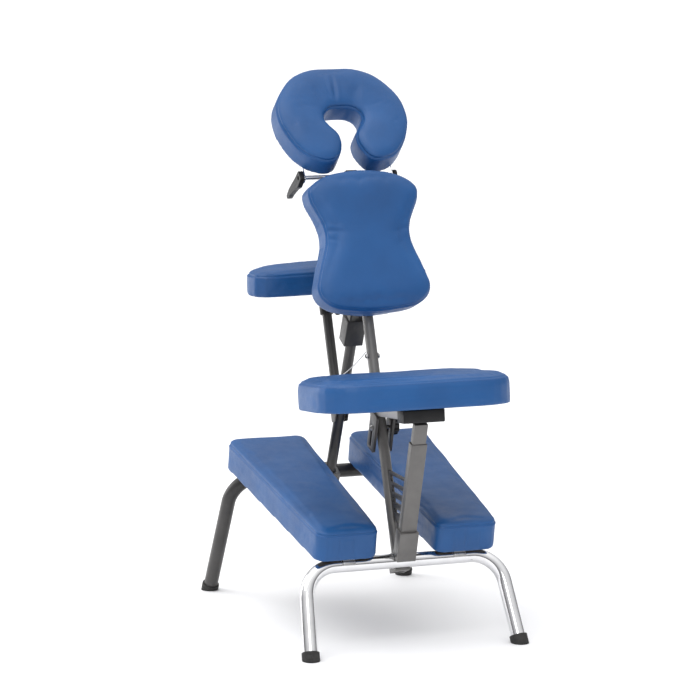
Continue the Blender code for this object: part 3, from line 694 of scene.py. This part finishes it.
        def at(distance):
            return Vector([np.interp(distance % places[-1], places, closed[:, axis]) for axis in range(3)])

        for index in range(count):
            start = index * places[-1] / count
            ends = [at(start), at(start + STITCH / 2), at(start + STITCH)]
            out = (ends[2] - ends[0]).cross(Vector((0, 0, 1))).normalized()
            if out.dot(ends[1] - Vector((ends[1].x * 0.5, ends[1].y * 0.5, ends[1].z))) < 0:
                out.negate()
            spline = curve.splines.new("POLY")
            spline.points.add(2)
            for point, place, lift in zip(spline.points, ends, (-0.0002, 0.0003, -0.0002)):
                point.co = (*(place + out * lift), 1.0)
        thread = new_piece(f"{self.node}_stitches", curve)
        graph = bpy.context.evaluated_depsgraph_get()
        mesh = bpy.data.meshes.new_from_object(thread.evaluated_get(graph))
        bpy.data.objects.remove(thread)
        mesh.transform(self.matrix)
        shade(mesh, 60.0)
        return finish_piece(new_piece(f"{self.node}_stitches", mesh), slot_of[self.node], body_of[self.node],
                            material="thread")

    def done(self):
        self.stitches()
        self.piece.data.transform(self.matrix)
        self.piece.data.shade_smooth()
        finish_piece(self.piece, slot_of[self.node], body_of[self.node], self.node)


class Crease:
    """A pulled fold in the vinyl: start and end in shares of the pad's box, depth and width in metres."""

    def __init__(self, start, end, depth=0.002, width=0.004):
        self.start, self.end, self.depth, self.width = Vector(start), Vector(end), depth, width

    def depth_at(self, shares, span):
        start = Vector([value * size for value, size in zip(self.start, span)])
        along = Vector([value * size for value, size in zip(self.end, span)]) - start
        point = Vector([value * size for value, size in zip(shares, span)]) - start
        share = point.dot(along) / along.length_squared
        if not -0.3 < share < 1.3:
            return 0.0
        off = (point - along * share).length / self.width
        if off > 3.0:
            return 0.0
        fade = math.exp(-((share - 0.4) / 0.45) ** 2)
        return self.depth * fade * (math.exp(-off * off) - 0.35 * math.exp(-((off - 1.6) ** 2)))


# ---------------------------------------------------------------- hardware

WASHER = 0.0009  # its thickness
SHANK_SHARE, HEXAGON_FOOT, HEXAGON_CROWN = 0.6, 0.86, 0.78  # shares of the CAD head's radius
BOLT_END_SKIN = 0.0005  # points this close to an end belong to the head's outer face
KNOB_LOBES, LOBE_DEPTH, KNOB_NECK = 7, 0.34, 0.52
WIRE_RADIUS, WIRE_SAG, WIRE_STEPS = 0.0011, Vector((0.0, -0.004, -0.006)), 32


def hex_bolt(name):
    """A bolt across the chair: a hexagon and a washer at each end of a round shank."""
    place = Matrix.Translation(centre(name)) @ Matrix.Rotation(math.pi / 2, 4, "Y")
    high = extent(name, place)[1]
    head_radius = high.x
    shank = SHANK_SHARE * head_radius
    ends = np.abs(points_of(name, place)[:, 2])
    inner = ends[ends < high.z - BOLT_END_SKIN].max()
    height = high.z - inner - WASHER
    bm = bmesh.new()
    for side in (1, -1):
        head = bmesh.ops.create_cone(bm, cap_ends=True, segments=6, radius1=head_radius * HEXAGON_FOOT,
                                     radius2=head_radius * HEXAGON_CROWN, depth=height)
        flip = Matrix.Rotation(0.0 if side > 0 else math.pi, 4, "X")
        shift = Matrix.Translation((0, 0, side * (inner + WASHER + height / 2)))
        bmesh.ops.transform(bm, matrix=shift @ flip, verts=head["verts"])
        ring = bmesh.ops.create_cone(bm, cap_ends=True, segments=32, radius1=head_radius, radius2=head_radius,
                                     depth=WASHER)
        bmesh.ops.translate(bm, vec=(0, 0, side * (inner + WASHER / 2)), verts=ring["verts"])
    bmesh.ops.create_cone(bm, cap_ends=True, segments=32, radius1=shank, radius2=shank, depth=2 * high.z)
    bmesh.ops.transform(bm, matrix=place, verts=bm.verts)
    mesh = bpy.data.meshes.new(name)
    bm.to_mesh(mesh)
    bm.free()
    piece = new_piece(f"{name}_shape", mesh)
    rounding = piece.modifiers.new("edges", "BEVEL")
    rounding.width, rounding.segments = 0.0003, 2
    applied(piece)
    shade(piece.data, 40.0)
    return finish_piece(piece, slot_of[name], body_of[name], name)


def grip_knob(name, axis):
    """A moulded clamp knob with finger lobes and a raised cap, in its CAD knob's room."""
    place = Matrix.Translation(centre(name)) @ Vector(axis).to_track_quat("Z", "Y").to_matrix().to_4x4()
    points = points_of(name, place)
    radii = np.hypot(points[:, 0], points[:, 1])
    low, high = points[:, 2].min(), points[:, 2].max()
    radius = radii.max()
    wide = points[radii > radius - 0.0015, 2]
    base, top = wide.min(), wide.max()
    neck = radius * KNOB_NECK
    soft = (top - base) * 0.22
    cap = [(0.0, high), (radius * 0.30, high), (radius * 0.34, high - 0.0006), (radius * 0.40, high - 0.0008)]
    rim = [(radius * 0.80, top + (high - top) * 0.55), (radius * 0.95, top), (radius, top - soft),
           (radius, base + soft), (radius * 0.95, base)]
    foot = [(neck, base - (base - low) * 0.15), (neck, low), (0.0, low)]
    grip = lathe(f"{name}_shape", cap + rim + foot, place, 84, lobes=KNOB_LOBES, depth=LOBE_DEPTH, hub=neck)
    return finish_piece(grip, slot_of[name], body_of[name], name)


def stay_wire():
    """The thin wire from the mast's bolt to the strut."""
    low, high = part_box("stay_wire")
    start = Vector(((low.x + high.x) / 2, low.y, high.z))
    end = Vector(((low.x + high.x) / 2, high.y, low.z))
    path = []
    for step in range(WIRE_STEPS + 1):
        share = step / WIRE_STEPS
        path.append(start.lerp(end, share) + WIRE_SAG * 4 * share * (1 - share))
    wire = tube_along("stay_wire_shape", path, WIRE_RADIUS, 4)
    finish_piece(wire, slot_of["stay_wire"], None, "stay_wire")
    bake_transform(wire)


# ---------------------------------------------------------------- the chair, piece by piece

make_camera()
studio_sky()
make_floor()
sun_light("key", (0.42, 0.12, -1.0), 1.1, 50.0)
area_light("back_left_softbox", (-3.0, 3.0, 1.5), (0.0, 0.0, 0.6), 2.4, 60.0)
area_light("front_softbox", (-1.6, -4.5, 3.0), (0.0, 0.0, 0.6), 2.0, 34.0)
scene.view_settings.view_transform = "Standard"

PLEATS = [Crease((at, 0.0, 0.15), (at, 0.0, 0.85), depth, 0.0035)
          for at, depth in ((0.30, 0.0009), (0.44, 0.0014), (0.62, 0.0010))]
SEAT_CREASES = [Crease((0.06, 0.30, 0.9), (0.16, 0.38, 1.0), 0.0010, 0.006),
                Crease((0.97, 0.25, 0.9), (0.86, 0.36, 1.0), 0.0010, 0.006)]
CHEST_CREASES = [Crease((0.10, 0.58, 0.9), (0.26, 0.56, 1.0), 0.0028, 0.005),
                 Crease((0.12, 0.52, 0.9), (0.24, 0.49, 1.0), 0.0014, 0.004),
                 Crease((0.90, 0.58, 0.9), (0.76, 0.56, 1.0), 0.0014, 0.006)]
ARMREST_CREASES = [Crease((0.03, 0.40, 0.9), (0.12, 0.48, 1.0), 0.0010, 0.006)]
FACE_CREASES = [Crease((0.465, 0.60, 1.0), (0.475, 0.90, 1.0), 0.0032, 0.0055),
                Crease((0.37, 0.60, 1.0), (0.30, 0.82, 1.0), 0.0012, 0.008),
                Crease((0.60, 0.60, 1.0), (0.67, 0.84, 1.0), 0.0018, 0.012),
                Crease((0.44, 0.62, 1.0), (0.41, 0.74, 1.0), 0.0014, 0.004)]
cushions = [
    Cushion("seat_cushion", "seat_board", fill=0.8, cap=0.005, seam=0.87, creases=SEAT_CREASES),
    Cushion("knee_cushion_left", "knee_board_left", fill=0.85, cap=0.003, seam=0.84, creases=PLEATS),
    Cushion("knee_cushion_right", "knee_board_right", fill=0.85, cap=0.003, seam=0.84, creases=PLEATS),
    Cushion("chest_cushion", "chest_board", fill=0.8, cap=0.007, seam=0.80, creases=CHEST_CREASES),
    Cushion("armrest_cushion", "armrest_board", fill=0.8, cap=0.006, seam=0.80, creases=ARMREST_CREASES),
    Cushion("face_cushion", "cradle_plate", fill=0.75, cap=0.007, seam=0.78, creases=FACE_CREASES),
]
for pad in cushions:
    pad.add_cloth()
for number in range(1, CLOTH_FRAMES + 1):
    scene.frame_set(number)
for pad in cushions:
    pad.settle()
scene.frame_set(1)
for pad in cushions:
    pad.sew()
    pad.done()

for name in ("rear_leg", "front_leg"):
    bent_leg(name)
round_tube("mast_tube", MAST)
round_tube("armrest_tube", ARM_TUBE)
for name in ("stay_bolt", "fold_pin", "seat_clamp_bolt", "armrest_tilt_bolt"):
    hex_bolt(name)
outward = {"chest_knob": joints["chest_knob_turn"], "head_height_knob": joints["head_height_knob_turn"],
           "armrest_height_knob": joints["armrest_knob_turn"], "seat_clamp_knob": joints["seat_clamp_turn"]}
for name, joint in outward.items():
    grip_knob(name, joint["axis"])
stay_wire()

BEVELS = {"rubber": 0.0012, "black_plastic": 0.0012, "plywood": 0.0015, "chrome": 0.0006, "steel": 0.0005}
for name in sorted(nodes):
    if name not in replaced:
        refined(name, BEVELS.get(slot_of[name], 0.0007))
